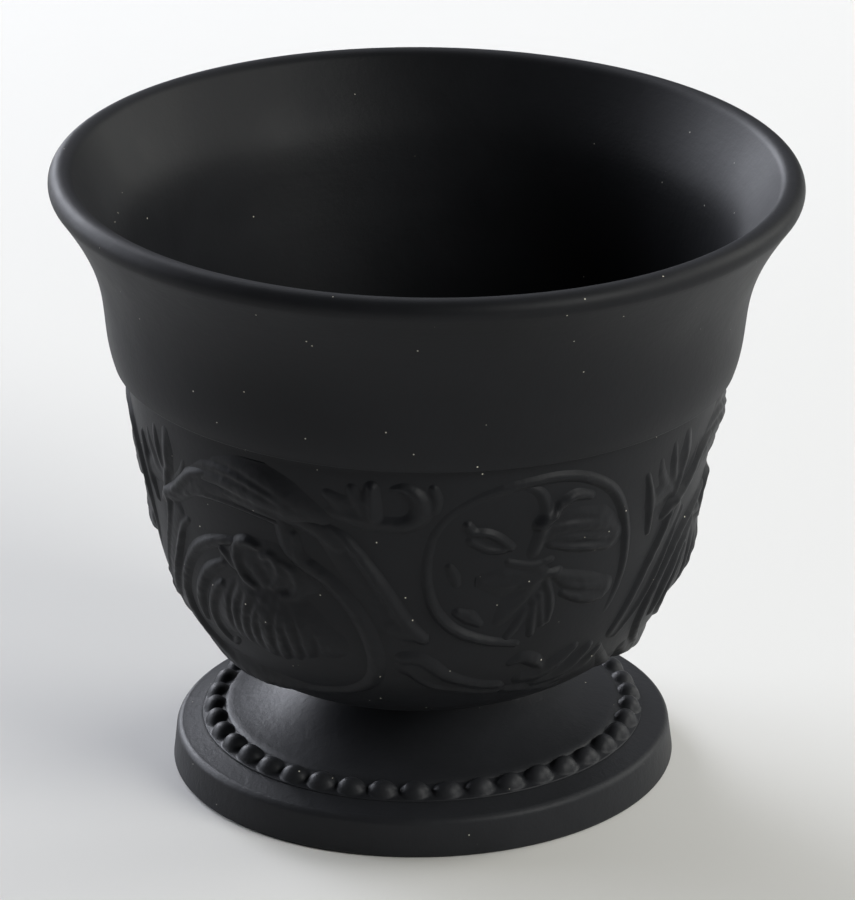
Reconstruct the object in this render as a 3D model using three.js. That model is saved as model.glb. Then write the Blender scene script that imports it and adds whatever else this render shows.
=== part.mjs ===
// Egg cup of unglazed black stoneware with a sprigged scroll frieze.
// Millimetres, +Z up, origin at the centre of the face that it stands on.
// Angles run round the axis in degrees: 0 is the front (-Y), 90 is the right (+X).
import * as THREE from "three";

// Overall sizes
const rimDiameter = 54.0;
const cupHeight = 45.8;

// Bowl
const lipThickness = 1.95;
const wallThickness = 2.1;
const wellFloorThickness = 3.6;
const neckHeight = 7.5;
const neckDiameter = 15.8;
const bellyDiameter = 39.0;
const bellyHeight = 19.0;
const groundTopDiameter = 42.9;
const ledgeHeight = 31.65;
const ledgeStep = 1.0;

// Foot
const footDiameter = 36.8;
const footEdgeHeight = 2.95;
const footEdgeRounding = 0.6;
const footTaper = 0.25;
const footHemRounding = 0.3;
const footBorderWidth = 1.8;
const footBorderRise = 0.42;
const channelDepth = 0.15;
const channelWallSlope = 0.15;
const coneFootDiameter = 27.9;
const coneFootHeight = 4.3;
const restingRingWidth = 3.0;
const recessSlope = 0.8;
const undersideRecess = 1.2;
const undersideDoming = 0.4;

// Bead strip
const beadCount = 41;
const beadStripWidth = 1.85;
const beadStripHeight = 1.25;
const beadNeckShare = 0.5;

// Sprigged frieze
const friezeRepeats = 3;
const luteGap = 0.12;
const stemWidth = 1.9;
const stemRise = 0.5;
const scrollWidth = 1.25;
const scrollRise = 0.45;
const tendrilWidth = 0.8;
const flowerRise = 0.5;
const flowerHeart = 0.9;
const openFlowerReach = 7.2;
const droopingFlowerReach = 8.6;
const droopingFlowerSideReach = 6.0;
const leafRise = 0.48;
const trefoilReach = 3.6;
const trefoilHeart = 0.6;
const baseLeafWidth = 3.4;
const crestLeafWidth = 1.2;
const curledLeafWidth = 1.9;
const almondLeafWidth = 1.5;
const smallLeafWidth = 1.0;

// How finely the round forms are divided
const turnSteps = 60;
const beadSteps = 4;

const rimRadius = rimDiameter / 2;
const neckRadius = neckDiameter / 2;
const footRadius = footDiameter / 2;
const radians = THREE.MathUtils.degToRad;

function point(radius, height) {
  return new THREE.Vector2(radius, height);
}

// Cubic curve of the profile. Each handle is a share of the way across and up between the ends.
function sweepCurve(start, [leaveAcross, leaveUp], end, [arriveAcross, arriveUp]) {
  const span = end.clone().sub(start);
  const leave = start.clone().add(point(span.x * leaveAcross, span.y * leaveUp));
  const arrive = end.clone().sub(point(span.x * arriveAcross, span.y * arriveUp));
  return new THREE.CubicBezierCurve(start, leave, arrive, end);
}

function lathe(profile) {
  const geometry = new THREE.LatheGeometry(profile, turnSteps);
  geometry.rotateX(Math.PI / 2);
  return geometry;
}

// Bowl: the recessed ground that carries the frieze runs from the neck up to the ledge.
const neckPoint = point(neckRadius, neckHeight);
const bellyPoint = point(bellyDiameter / 2, bellyHeight);
const groundTop = point(groundTopDiameter / 2, ledgeHeight - ledgeStep);
const underCurve = sweepCurve(neckPoint, [0.65, 0.11], bellyPoint, [0.1, 0.52]);
const shoulderCurve = sweepCurve(bellyPoint, [0.37, 0.32], groundTop, [0.04, 0.21]);

// Bowl: the smooth band above the ledge flares out to the lip.
const lipRadius = lipThickness / 2;
const lipCentre = point(rimRadius - lipRadius, cupHeight - lipRadius);
const bandFoot = point(groundTop.x + ledgeStep, ledgeHeight);
const lipStart = -30;
const lipEnd = 150;
const bandTop = onLip(lipStart);
const bandCurve = sweepCurve(bandFoot, [0.28, 0.28], bandTop, [1.09, 0.52]);

function onLip(degrees) {
  const angle = radians(degrees);
  return point(lipCentre.x + lipRadius * Math.cos(angle), lipCentre.y + lipRadius * Math.sin(angle));
}

function lipArc(count) {
  const points = [];
  for (let i = 0; i <= count; i += 1) {
    points.push(onLip(THREE.MathUtils.lerp(lipStart, lipEnd, i / count)));
  }
  return points;
}

function bowlGeometry() {
  const wellBottom = point(0, neckHeight + wellFloorThickness);
  const innerBelly = point(bellyPoint.x - wallThickness, bellyPoint.y);
  const wellCurve = sweepCurve(wellBottom, [0.52, 0], innerBelly, [0.06, 0.66]);
  const wallCurve = sweepCurve(innerBelly, [0.77, 0.93], onLip(lipEnd), [0.63, 0.28]);
  const outer = [
    point(0, neckHeight),
    ...underCurve.getSpacedPoints(9),
    ...shoulderCurve.getSpacedPoints(5).slice(1),
    point(groundTop.x + ledgeStep * 0.7, groundTop.y + ledgeStep * 0.3),
    ...bandCurve.getSpacedPoints(7).slice(0, -1),
    ...lipArc(6),
  ];
  const inner = [
    ...wellCurve.getSpacedPoints(8).slice(0, -1),
    ...wallCurve.getSpacedPoints(10).slice(0, -1),
  ];
  return lathe([...outer, ...inner.reverse()]);
}

// Foot: a flared stalk on a round plate, hollowed a little underneath.
function footGeometry() {
  const borderTop = footEdgeHeight + footBorderRise;
  const channelFloor = borderTop - channelDepth;
  const coneFoot = point(coneFootDiameter / 2, coneFootHeight);
  const cone = sweepCurve(coneFoot, [0.44, 0.16], neckPoint, [0.14, 0.5]);
  const recessRadius = footRadius - restingRingWidth;
  const sideTop = footRadius - footTaper;
  const border = sideTop - footBorderWidth;
  return lathe([
    point(0, undersideRecess + undersideDoming),
    point(recessRadius * 0.6, undersideRecess + undersideDoming * 0.7),
    point(recessRadius - recessSlope, undersideRecess),
    point(recessRadius, 0),
    point(footRadius - footHemRounding, 0),
    point(footRadius, footHemRounding),
    point(sideTop, footEdgeHeight - footEdgeRounding),
    point(sideTop - footEdgeRounding * 0.3, footEdgeHeight - footEdgeRounding * 0.3),
    point(sideTop - footEdgeRounding, footEdgeHeight),
    point(border, borderTop),
    point(border - channelWallSlope, channelFloor),
    point(coneFoot.x + channelWallSlope, channelFloor),
    ...cone.getSpacedPoints(8),
    point(0, neckHeight),
  ]);
}

// Geometry from corner positions and triangles.
function meshGeometry(corners, triangles) {
  const geometry = new THREE.BufferGeometry();
  geometry.setAttribute("position", new THREE.Float32BufferAttribute(corners.flat(), 3));
  geometry.setIndex(triangles.flat());
  geometry.computeVertexNormals();
  return geometry;
}

function aroundAxis(radius, angleDegrees, height) {
  const angle = radians(angleDegrees);
  return [radius * Math.sin(angle), -radius * Math.cos(angle), height];
}

// Bead strip: one clay strip in the foot's channel, pinched between each bead and the next.
function beadStripGeometry() {
  const innerRadius = coneFootDiameter / 2 + channelWallSlope + luteGap * 2;
  const centreRadius = innerRadius + beadStripWidth / 2;
  const base = footEdgeHeight + footBorderRise - channelDepth + luteGap;
  const section = [[-1, 0], [-0.82, 0.62], [0, 1], [0.82, 0.62], [1, 0]];
  const stations = beadCount * beadSteps;
  const corners = [];
  const triangles = [];
  for (let i = 0; i < stations; i += 1) {
    const fromBead = 1 - Math.abs(((i % beadSteps) / beadSteps) * 2 - 1);
    const swell = Math.sqrt(Math.max(1 - fromBead * fromBead, beadNeckShare ** 2));
    for (const [across, up] of section) {
      const radius = centreRadius + across * swell * beadStripWidth / 2;
      corners.push(aroundAxis(radius, (i / stations) * 360, base + up * swell * beadStripHeight));
    }
  }
  const around = section.length;
  for (let i = 0; i < stations; i += 1) {
    const next = (i + 1) % stations;
    for (let j = 0; j < around; j += 1) {
      const k = (j + 1) % around;
      const a = i * around + j;
      const b = next * around + j;
      const c = next * around + k;
      const d = i * around + k;
      triangles.push([a, d, b], [b, d, c]);
    }
  }
  return meshGeometry(corners, triangles);
}

// The frieze is drawn on a card and wrapped on the ground: the card's width is degrees,
// and its height is cardHeight units from the neck to the ledge, about a millimetre each.
const cardHeight = 29.25;
const cardSamples = 120;
const groundSamples = [
  ...underCurve.getSpacedPoints(cardSamples),
  ...shoulderCurve.getSpacedPoints(cardSamples).slice(1),
];
const groundLengths = [0];
for (let i = 1; i < groundSamples.length; i += 1) {
  groundLengths.push(groundLengths[i - 1] + groundSamples[i].distanceTo(groundSamples[i - 1]));
}
const groundLength = groundLengths[groundLengths.length - 1];
const unitHeight = groundLength / cardHeight;

// Point and outward direction of the ground at a height on the card.
function groundAt(cardUnits) {
  const wanted = THREE.MathUtils.clamp(cardUnits * unitHeight, 0, groundLength);
  let i = 1;
  while (i < groundLengths.length - 1 && groundLengths[i] < wanted) i += 1;
  const share = (wanted - groundLengths[i - 1]) / (groundLengths[i] - groundLengths[i - 1]);
  const along = groundSamples[i].clone().sub(groundSamples[i - 1]).normalize();
  return {
    spot: groundSamples[i - 1].clone().lerp(groundSamples[i], share),
    outward: point(along.y, -along.x),
  };
}

function onBowl(angleDegrees, cardUnits, lift) {
  const { spot, outward } = groundAt(cardUnits);
  return aroundAxis(spot.x + outward.x * lift, angleDegrees, spot.y + outward.y * lift);
}

const degreeWidth = radians(1) * bellyDiameter / 2;

// A place on the card, moved by millimetres sideways and upwards.
function shifted([angle, height], right, up) {
  const { spot } = groundAt(height);
  return [angle + right / (radians(1) * spot.x), height + up / unitHeight];
}

// Closed relief body from rows of [angle, height, rise]; a row's two ends lie on the bed.
function reliefBody(rows) {
  const across = rows[0].length;
  const corners = [];
  const triangles = [];
  for (const row of rows) {
    for (const [angle, height, rise] of row) {
      corners.push(onBowl(angle, height, luteGap + rise));
    }
    const [angleA, heightA] = row[0];
    const [angleB, heightB] = row[across - 1];
    corners.push(onBowl((angleA + angleB) / 2, (heightA + heightB) / 2, luteGap));
  }
  const perRow = across + 1;
  for (let i = 0; i < rows.length - 1; i += 1) {
    const here = i * perRow;
    const next = here + perRow;
    const ring = [...Array(perRow).keys()];
    for (const j of ring) {
      const k = (j + 1) % perRow;
      triangles.push([here + j, here + k, next + j], [next + j, here + k, next + k]);
    }
  }
  const last = (rows.length - 1) * perRow;
  for (let j = 0; j < across - 1; j += 1) {
    triangles.push([across, j + 1, j], [last + across, last + j, last + j + 1]);
  }
  return meshGeometry(corners, triangles);
}

// Strip along a spine of card points, with a half width and a section at each station.
function strip(spine, stations, halfWidthAt, section, rise) {
  const curve = new THREE.CatmullRomCurve3(
    spine.map(([angle, height]) => new THREE.Vector3(angle * degreeWidth, height * unitHeight, 0)),
    false,
    "centripetal",
  );
  const rows = [];
  for (let i = 0; i <= stations; i += 1) {
    const share = i / stations;
    const spot = curve.getPointAt(share);
    const tangent = curve.getTangentAt(share);
    const centre = [spot.x / degreeWidth, spot.y / unitHeight];
    const half = halfWidthAt(share);
    const lift = rise * Math.min(1, half / halfWidthAt(0.5));
    rows.push(section.map(([side, up]) => [
      ...shifted(centre, -tangent.y * side * half, tangent.x * side * half),
      up * lift,
    ]));
  }
  return reliefBody(rows);
}

// Sections across a strip, from one edge to the other: [share of half width, share of rise].
const ridgedSection = [[1, 0], [0.72, 1], [0, 0.55], [-0.72, 1], [-1, 0]];
const roundSection = [[1, 0], [0.6, 0.85], [0, 1], [-0.6, 0.85], [-1, 0]];
const veinedSection = [[1, 0], [0.55, 1], [0, 0.6], [-0.55, 1], [-1, 0]];

// Leaf: a strip that swells from its stalk and narrows to its tip, with scalloped edges.
function leaf(spine, stations, width, lobes) {
  const halfWidthAt = (share) => {
    const swell = Math.sin(Math.PI * THREE.MathUtils.lerp(0.12, 0.93, share)) ** 0.7;
    const scallop = 1 - 0.22 * Math.abs(Math.cos(Math.PI * lobes * share));
    return (width / 2) * swell * scallop;
  };
  return strip(spine, stations, halfWidthAt, veinedSection, leafRise);
}

// Fan of petals round a centre on the card; the rise swells at the heart and along each petal.
function petalFan(centre, [fromDegrees, toDegrees], petals, heart, reachAt, rise) {
  const stepsEach = 4;
  const steps = petals * stepsEach;
  const radial = [[0, 0], [0.1, 0.8], [0.24, 0.55], [0.6, 1], [0.9, 0.75], [1, 0]];
  const rows = [];
  for (let i = 0; i <= steps; i += 1) {
    const share = i / steps;
    const angle = radians(THREE.MathUtils.lerp(fromDegrees, toDegrees, share));
    const groove = Math.abs(Math.sin(Math.PI * petals * share));
    const reach = reachAt(share) * (0.86 + 0.14 * groove);
    const edge = i === 0 || i === steps ? 0.35 : 1;
    rows.push(radial.map(([out, up]) => {
      const distance = THREE.MathUtils.lerp(heart, reach, out);
      const ribbed = out > 0.2 ? 0.5 + 0.5 * groove : 1;
      return [
        ...shifted(centre, distance * Math.cos(angle), distance * Math.sin(angle)),
        rise * up * ribbed * edge,
      ];
    }));
  }
  return reliefBody(rows);
}

// Main stem: rises from the base leaf, crests over the low scroll and comes down to the collar.
const mainStem = [
  [45.5, 13.9], [50, 16.2], [54, 18.4], [58, 20.6], [63, 22.7], [68, 24.6], [74, 25.6], [82, 26.0],
  [90, 25.8], [97, 25.0], [103, 23.7], [107, 22.3], [110.5, 20.5], [114, 18.5], [117, 16.8],
];
// Trough stem: goes from the collar along the bottom to the base leaf.
const troughStem = [[-4.3, 14.3], [1, 13.3], [6, 12.1], [12, 11.1], [18.5, 10.5]];
// High scroll: leaves the main stem, turns over the flower and ends at the flower's stalk.
const highScroll = [
  [41.4, 15.9], [43.4, 18.2], [43.9, 20.6], [42.8, 23.0], [40.3, 25.2], [36.5, 26.8], [30, 27.8],
  [22, 28.2], [14, 28.0], [7.5, 27.1], [3.2, 25.4], [1.4, 23.0], [1.7, 20.4], [4.2, 18.2],
  [8.5, 16.7], [14, 15.9], [19.5, 16.0],
];
// Low scroll: hangs under the crest and runs round the drooping flower.
const lowScroll = [
  [-23.5, 22.4], [-19.5, 20.4], [-15.8, 18.4], [-13.2, 16.2], [-12.2, 13.8], [-14, 11.6], [-19, 10.1],
  [-27, 9.3], [-37, 9.1], [-47, 9.5], [-56, 10.8], [-62, 12.8], [-62.8, 15.2], [-59, 17.4],
  [-53.5, 19.4], [-47.5, 21.0], [-41, 21.9], [-34.5, 21.9],
];
const underTendril = [[44.8, 11.3], [50, 9.7], [57, 8.3], [65, 7.4], [74, 7.0]];
const baseLeaf = [[20.0, 11.3], [27, 11.6], [34, 12.2], [40.5, 12.9], [43.6, 13.3]];
const crestLeaf = [[-48, 27.9], [-41, 28.2], [-32, 28.2], [-25, 27.5]];
const curledLeaf = [
  [-17.2, 26.0], [-13, 26.1], [-8, 25.8], [-3.6, 26.0], [-1.0, 27.0], [-2.2, 28.1], [-4.6, 28.2],
];
const almondLeaf = [[8.4, 25.3], [12.5, 24.5], [17.0, 23.9]];
const smallLeaf = [[6.6, 18.9], [9, 18.3], [12.4, 17.6]];
const trefoilCentre = [60, 25.1];
const openFlowerCentre = [19.5, 20.8];
const droopingFlowerCentre = [-34.5, 20.2];

const strapEnds = (share) => Math.min(1, 0.62 + 3 * Math.min(share, 1 - share));

// Frieze pieces of one repeat, by name.
function friezePieces() {
  const steady = (width) => (share) => (width / 2) * strapEnds(share);
  const thinning = (width) => (share) => (width / 2) * THREE.MathUtils.lerp(1, 0.62, share);
  const openReach = (share) => openFlowerReach * (1 - 0.12 * share);
  const droopingReach = (share) => THREE.MathUtils.lerp(
    droopingFlowerSideReach,
    droopingFlowerReach,
    Math.sin(Math.PI * share),
  );
  return {
    main_stem: strip(mainStem, 24, steady(stemWidth), ridgedSection, stemRise),
    trough_stem: strip(troughStem, 7, steady(stemWidth), ridgedSection, stemRise),
    high_scroll: strip(highScroll, 30, thinning(scrollWidth), roundSection, scrollRise),
    low_scroll: strip(lowScroll, 32, thinning(scrollWidth), roundSection, scrollRise),
    open_flower: petalFan(openFlowerCentre, [-40, 75], 5, flowerHeart, openReach, flowerRise),
    drooping_flower: petalFan(droopingFlowerCentre, [-158, -28], 7, flowerHeart, droopingReach, flowerRise),
    trefoil_leaf: petalFan(trefoilCentre, [15, 165], 3, trefoilHeart, () => trefoilReach, leafRise),
    base_leaf: leaf(baseLeaf, 10, baseLeafWidth, 3),
    crest_leaf: leaf(crestLeaf, 10, crestLeafWidth, 3),
    curled_leaf: leaf(curledLeaf, 12, curledLeafWidth, 2),
    almond_leaf: leaf(almondLeaf, 4, almondLeafWidth, 0.5),
    small_leaf: leaf(smallLeaf, 3, smallLeafWidth, 0.5),
    under_tendril: strip(underTendril, 6, thinning(tendrilWidth), roundSection, scrollRise),
  };
}

// Assembly
const stoneware = { color: 0x26272b, metalness: 0, roughness: 0.55 };

function addPiece(parent, name, geometry, look) {
  const mesh = new THREE.Mesh(geometry, new THREE.MeshStandardMaterial(look));
  mesh.name = name;
  parent.add(mesh);
}

const eggCup = new THREE.Group();
addPiece(eggCup, "bowl", bowlGeometry(), stoneware);
addPiece(eggCup, "foot", footGeometry(), { ...stoneware, roughness: 0.6 });
addPiece(eggCup, "bead_strip", beadStripGeometry(), { ...stoneware, roughness: 0.5 });

for (let i = 0; i < friezeRepeats; i += 1) {
  const repeat = new THREE.Group();
  repeat.rotation.z = radians(360 / friezeRepeats) * i;
  for (const [name, geometry] of Object.entries(friezePieces())) {
    addPiece(repeat, `${name}_${i + 1}`, geometry, { ...stoneware, roughness: 0.58 });
  }
  eggCup.add(repeat);
}

export default eggCup;
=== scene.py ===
# %% [markdown]
# # A small egg cup of unglazed black stoneware
# The real cup is made from pieces of clay that are shaped apart and joined before one firing: a thrown bowl,
# a turned foot, a pressed strip of beads laid round the foot, and a frieze of thin clay ornaments, called
# sprigs, that are pressed in small moulds and laid on the bowl.
#
# The ornament could be sculpted into one mesh. A lathe shape, a strip made by a rule and a relief made from
# heights each follow how their piece was made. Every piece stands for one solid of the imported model.

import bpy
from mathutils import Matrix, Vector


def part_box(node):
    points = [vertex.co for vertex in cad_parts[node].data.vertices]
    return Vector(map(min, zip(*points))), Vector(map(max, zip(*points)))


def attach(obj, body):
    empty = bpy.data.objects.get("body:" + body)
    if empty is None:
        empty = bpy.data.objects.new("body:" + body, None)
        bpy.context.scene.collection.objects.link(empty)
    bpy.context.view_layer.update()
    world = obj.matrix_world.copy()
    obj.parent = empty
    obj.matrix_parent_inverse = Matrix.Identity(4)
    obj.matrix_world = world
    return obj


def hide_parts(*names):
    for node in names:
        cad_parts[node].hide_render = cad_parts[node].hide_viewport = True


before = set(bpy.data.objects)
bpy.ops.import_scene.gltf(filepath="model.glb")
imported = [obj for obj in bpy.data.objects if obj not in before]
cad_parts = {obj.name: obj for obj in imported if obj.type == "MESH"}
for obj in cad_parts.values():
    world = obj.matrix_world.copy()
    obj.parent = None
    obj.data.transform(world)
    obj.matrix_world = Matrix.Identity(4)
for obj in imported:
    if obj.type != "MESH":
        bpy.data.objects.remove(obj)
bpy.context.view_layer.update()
print("solids in the frame:", len(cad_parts))

# %% [markdown]
# ## Units and small helpers
# The frame is in metres, but the shapes below are drawn in millimetres, as a potter would, and scaled once.
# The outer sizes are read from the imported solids, so they aren't typed twice.

# %% Units, colours and small helpers
import math

import bpy
import numpy as np
from mathutils import Matrix

MM = 0.001


def upper_corner_mm(node):
    """A node's highest corner in millimetres."""
    return [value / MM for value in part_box(node)[1]]


rim_radius, _, cup_height = upper_corner_mm("bowl")
foot_radius, _, neck_height = upper_corner_mm("foot")
bead_outer_radius, _, bead_top = upper_corner_mm("bead_strip")
bead_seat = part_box("bead_strip")[0].z / MM
print(f"cup {cup_height:.1f} mm tall, rim {rim_radius * 2:.1f} mm and foot {foot_radius * 2:.1f} mm across")


def linear(hex_colour):
    """sRGB hex colour to the linear RGBA that a shader socket takes."""
    shares = [int(hex_colour[i:i + 2], 16) / 255 for i in (1, 3, 5)]
    return [v / 12.92 if v <= 0.04045 else ((v + 0.055) / 1.055) ** 2.4 for v in shares] + [1.0]


def add_node(tree, kind, settings=None, **inputs):
    """Adds a node, sets its settings, and sets or links its inputs; a word's _ stands for a space."""
    node = tree.nodes.new(kind)
    for name, value in (settings or {}).items():
        setattr(node, name, value)
    for name, value in inputs.items():
        socket = node.inputs[int(name[1:])] if name[1:].isdigit() else node.inputs[name.replace("_", " ")]
        if isinstance(value, bpy.types.NodeSocket):
            tree.links.new(value, socket)
        else:
            socket.default_value = value
    return node


# %% [markdown]
# ## Stoneware
# Black stoneware is a dense clay stained with iron and manganese. It is fired without a glaze, so it keeps a
# dry skin with a soft, faintly blue sheen. The eye sees a near-black body in clouds of two close tones, a
# slightly pitted skin with a fine grit, and a few grains of dust. Thin rings show where it was turned.
#
# One material could serve all pieces, but a turned surface carries rings and a pressed one does not, so a
# function builds one material for each way of making. The foot and the beads also take paler tones than the
# bowl: painted light where the bowl shades them from the lamps. All patterns read Object coordinates in
# metres.

# %% Material of one kind of stoneware surface
BOWL_TONES = ("#151618", "#1e1f22")
# Painted light: the foot's and the beads' tones are paler than the bowl's, in place of the lamp light that
# the bowl keeps off them.
PAINTED_LIGHT_FOOT_TONES = ("#1e1f21", "#2a2b2e")
DUST = "#cfcbbd"
CLOUD_MM = 6.0
PIT_MM = 0.75
GRIT_MM = 0.2
TURNING_LINE_MM = 0.3
DUST_SPACING_MM = 1.8
DUST_SIZE_MM = 0.07
PIT_DEPTH_MM = 0.05
GRIT_DEPTH_MM = 0.014
TURNING_DEPTH_MM = 0.02
TURNING_DRIFT = 0.05
HANDLED_SHINE = 0.04
DRY_CLAY_IOR = 1.24


def stoneware(name, tones, turned=0.0, roughness=0.48, pitted=0.5):
    """Unglazed black stoneware: turned is how clearly lathe rings show, pitted how uneven its skin is."""
    material = bpy.data.materials.new(name)
    material.use_nodes = True
    tree = material.node_tree
    surface = tree.nodes["Principled BSDF"]
    place = add_node(tree, "ShaderNodeTexCoord").outputs["Object"]

    def noise(size_mm, detail, roughness, where=place):
        return add_node(tree, "ShaderNodeTexNoise", Vector=where, Scale=1 / (size_mm * MM), Detail=detail,
                        Roughness=roughness).outputs["Fac"]

    clouds = noise(CLOUD_MM, 5.0, 0.6)
    body = add_node(tree, "ShaderNodeMix", {"data_type": "RGBA"}, _0=clouds, _6=linear(tones[0]),
                    _7=linear(tones[1])).outputs[2]

    # A grain of dust shows where the middle of a coarse cell lies at the surface.
    cells = add_node(tree, "ShaderNodeTexVoronoi", Vector=place, Scale=1 / (DUST_SPACING_MM * MM))
    grain_size = DUST_SIZE_MM / DUST_SPACING_MM
    dusty = add_node(tree, "ShaderNodeMapRange", _0=cells.outputs["Distance"], _1=grain_size * 0.5,
                     _2=grain_size, _3=1.0, _4=0.0).outputs[0]
    dusted = add_node(tree, "ShaderNodeMix", {"data_type": "RGBA"}, _0=dusty, _6=body,
                      _7=linear(DUST)).outputs[2]
    tree.links.new(dusted, surface.inputs["Base Color"])

    # The skin is smoother where it has been handled.
    shine = add_node(tree, "ShaderNodeMapRange", _0=clouds, _1=0.3, _2=0.7, _3=roughness - HANDLED_SHINE,
                     _4=roughness + HANDLED_SHINE).outputs[0]
    tree.links.new(shine, surface.inputs["Roughness"])

    # Shallow pits and a fine grit everywhere, and rings of the turning tool round the axis.
    bump = add_node(tree, "ShaderNodeBump", Strength=pitted, Distance=PIT_DEPTH_MM * MM,
                    Height=noise(PIT_MM, 3.0, 0.65)).outputs[0]
    bump = add_node(tree, "ShaderNodeBump", Strength=pitted, Distance=GRIT_DEPTH_MM * MM,
                    Height=noise(GRIT_MM, 2.0, 0.55), Normal=bump).outputs[0]
    if turned:
        x, y, z = add_node(tree, "ShaderNodeSeparateXYZ", Vector=place).outputs
        flat = add_node(tree, "ShaderNodeCombineXYZ", X=x, Y=y).outputs[0]
        out = add_node(tree, "ShaderNodeVectorMath", {"operation": "LENGTH"}, _0=flat).outputs["Value"]
        drift = add_node(tree, "ShaderNodeMath", {"operation": "MULTIPLY"}, _0=x, _1=TURNING_DRIFT)
        ringed = add_node(tree, "ShaderNodeCombineXYZ", X=out, Y=z, Z=drift.outputs[0]).outputs[0]
        bump = add_node(tree, "ShaderNodeBump", Strength=turned, Distance=TURNING_DEPTH_MM * MM,
                        Height=noise(TURNING_LINE_MM, 2.0, 0.6, ringed), Normal=bump).outputs[0]
    tree.links.new(bump, surface.inputs["Normal"])
    surface.inputs["IOR"].default_value = DRY_CLAY_IOR
    return material


bowl_stoneware = stoneware("black_stoneware_thrown", BOWL_TONES, turned=0.2, roughness=0.5, pitted=0.3)
foot_stoneware = stoneware("black_stoneware_turned", PAINTED_LIGHT_FOOT_TONES, turned=0.35, roughness=0.47, pitted=0.7)
bead_stoneware = stoneware("black_stoneware_pressed", PAINTED_LIGHT_FOOT_TONES, roughness=0.46, pitted=0.6)
sprig_stoneware = stoneware("black_stoneware_sprigged", BOWL_TONES, pitted=0.6)
print("stoneware finishes:", len(bpy.data.materials))

# %% [markdown]
# ## The profile
# A potter shapes the bowl against a template, which is a few smooth sweeps joined end to end. A list of
# many measured points would wobble. A cubic curve for each sweep stays smooth with four numbers. They say
# how far it leaves one end and reaches for the other, as shares of the way across and up.

# %% Sweeps and offsets
SWEEP_POINTS = 40


def sweep(start, leave, end, arrive, count=SWEEP_POINTS):
    """Points (radius, height) of a cubic curve between two places."""
    start, end = np.array(start, float), np.array(end, float)
    first, second = start + (end - start) * leave, end - (end - start) * arrive
    t = np.linspace(0, 1, count)[:, None]
    return ((1 - t) ** 3 * start + 3 * (1 - t) ** 2 * t * first
            + 3 * (1 - t) * t ** 2 * second + t ** 3 * end)


def arc(centre, radius, from_degrees, to_degrees, count):
    """Points (radius, height) of an arc; 0 degrees is straight out."""
    angle = np.radians(np.linspace(from_degrees, to_degrees, count))
    return np.column_stack([centre[0] + radius * np.cos(angle), centre[1] + radius * np.sin(angle)])


def outward(curve):
    """Unit direction out of the clay at each point of a curve that climbs the outside."""
    along = np.gradient(curve, axis=0)
    along /= np.linalg.norm(along, axis=1)[:, None]
    return np.column_stack([along[:, 1], -along[:, 0]])


# %% [markdown]
# ## The bowl's section
# The real bowl swells from the neck to its belly, stands upright behind the frieze, steps out over a ledge
# and flares in a band to a rounded lip. The outside follows the photograph. The inside shows only near the
# lip, so the wall below is guessed as an even one. Offsetting the whole outside would copy the ledge inside.

# %% The bowl's curves, in millimetres
WALL = 2.1
LIP = 1.95
WELL_FLOOR = 3.6
LEDGE_ROUNDING = 0.15
neck = (7.9, neck_height)
belly = (19.5, 19.0)
ground_top = (21.45, 30.65)
band_foot = (22.45, 31.65)
lip_centre = (rim_radius - LIP / 2, cup_height - LIP / 2)
lip_arc = arc(lip_centre, LIP / 2, -30, 150, 25)

under_bowl = sweep(neck, (0.65, 0.11), belly, (0.1, 0.52), 90)
shoulder = sweep(belly, (0.37, 0.32), ground_top, (0.04, 0.21))
ledge_centre = (band_foot[0] - LEDGE_ROUNDING, band_foot[1])
ledge = np.vstack([
    sweep(ground_top, (0.0, 0.9), (ledge_centre[0], ledge_centre[1] - LEDGE_ROUNDING), (0.8, 0.0), 14),
    arc(ledge_centre, LEDGE_ROUNDING, -80, -5, 6),
])
band = sweep(band_foot, (0.28, 0.28), lip_arc[0], (1.09, 0.52), 60)
inner_belly = (belly[0] - WALL, belly[1])
inner_wall = sweep(inner_belly, (0.77, 0.93), lip_arc[-1], (0.63, 0.28), 90)
well = sweep((0, neck_height + WELL_FLOOR), (0.52, 0.0), inner_belly, (0.06, 0.66), 70)
print(f"belly {belly[0] * 2:.1f} mm across, lip {LIP:.2f} mm thick")

# %% [markdown]
# ## Turned pieces
# Thrown and turned clay is round about one axis. The Spin tool or a Screw modifier could sweep the profile,
# but both leave doubled points where it meets the axis. Building the rings directly puts exactly one point
# on the axis at each pole, so the shell is closed.
#
# The real bowl sits a little askew on its foot, by about a degree, as it was luted on or as it moved in the
# fire. A function tips every piece above the neck alike, so that what is laid on the bowl tips with it.

# %% Closed meshes and turned shells
BOWL_TILT = math.radians(1.28)
BEND_HEIGHT = 6.0
ROUND_STEPS = 288


def ease(share):
    """A smooth step from 0 to 1."""
    share = np.clip(share, 0, 1)
    return share * share * (3 - 2 * share)


def fired(points):
    """Points in millimetres, tipped to the right above the neck as the real bowl is."""
    across, depth, height = np.array(points, float).T
    above = height - neck_height
    tilt = BOWL_TILT * ease(above / BEND_HEIGHT)
    return np.column_stack([across * np.cos(tilt) + above * np.sin(tilt), depth,
                            neck_height + above * np.cos(tilt) - across * np.sin(tilt)])


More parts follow.
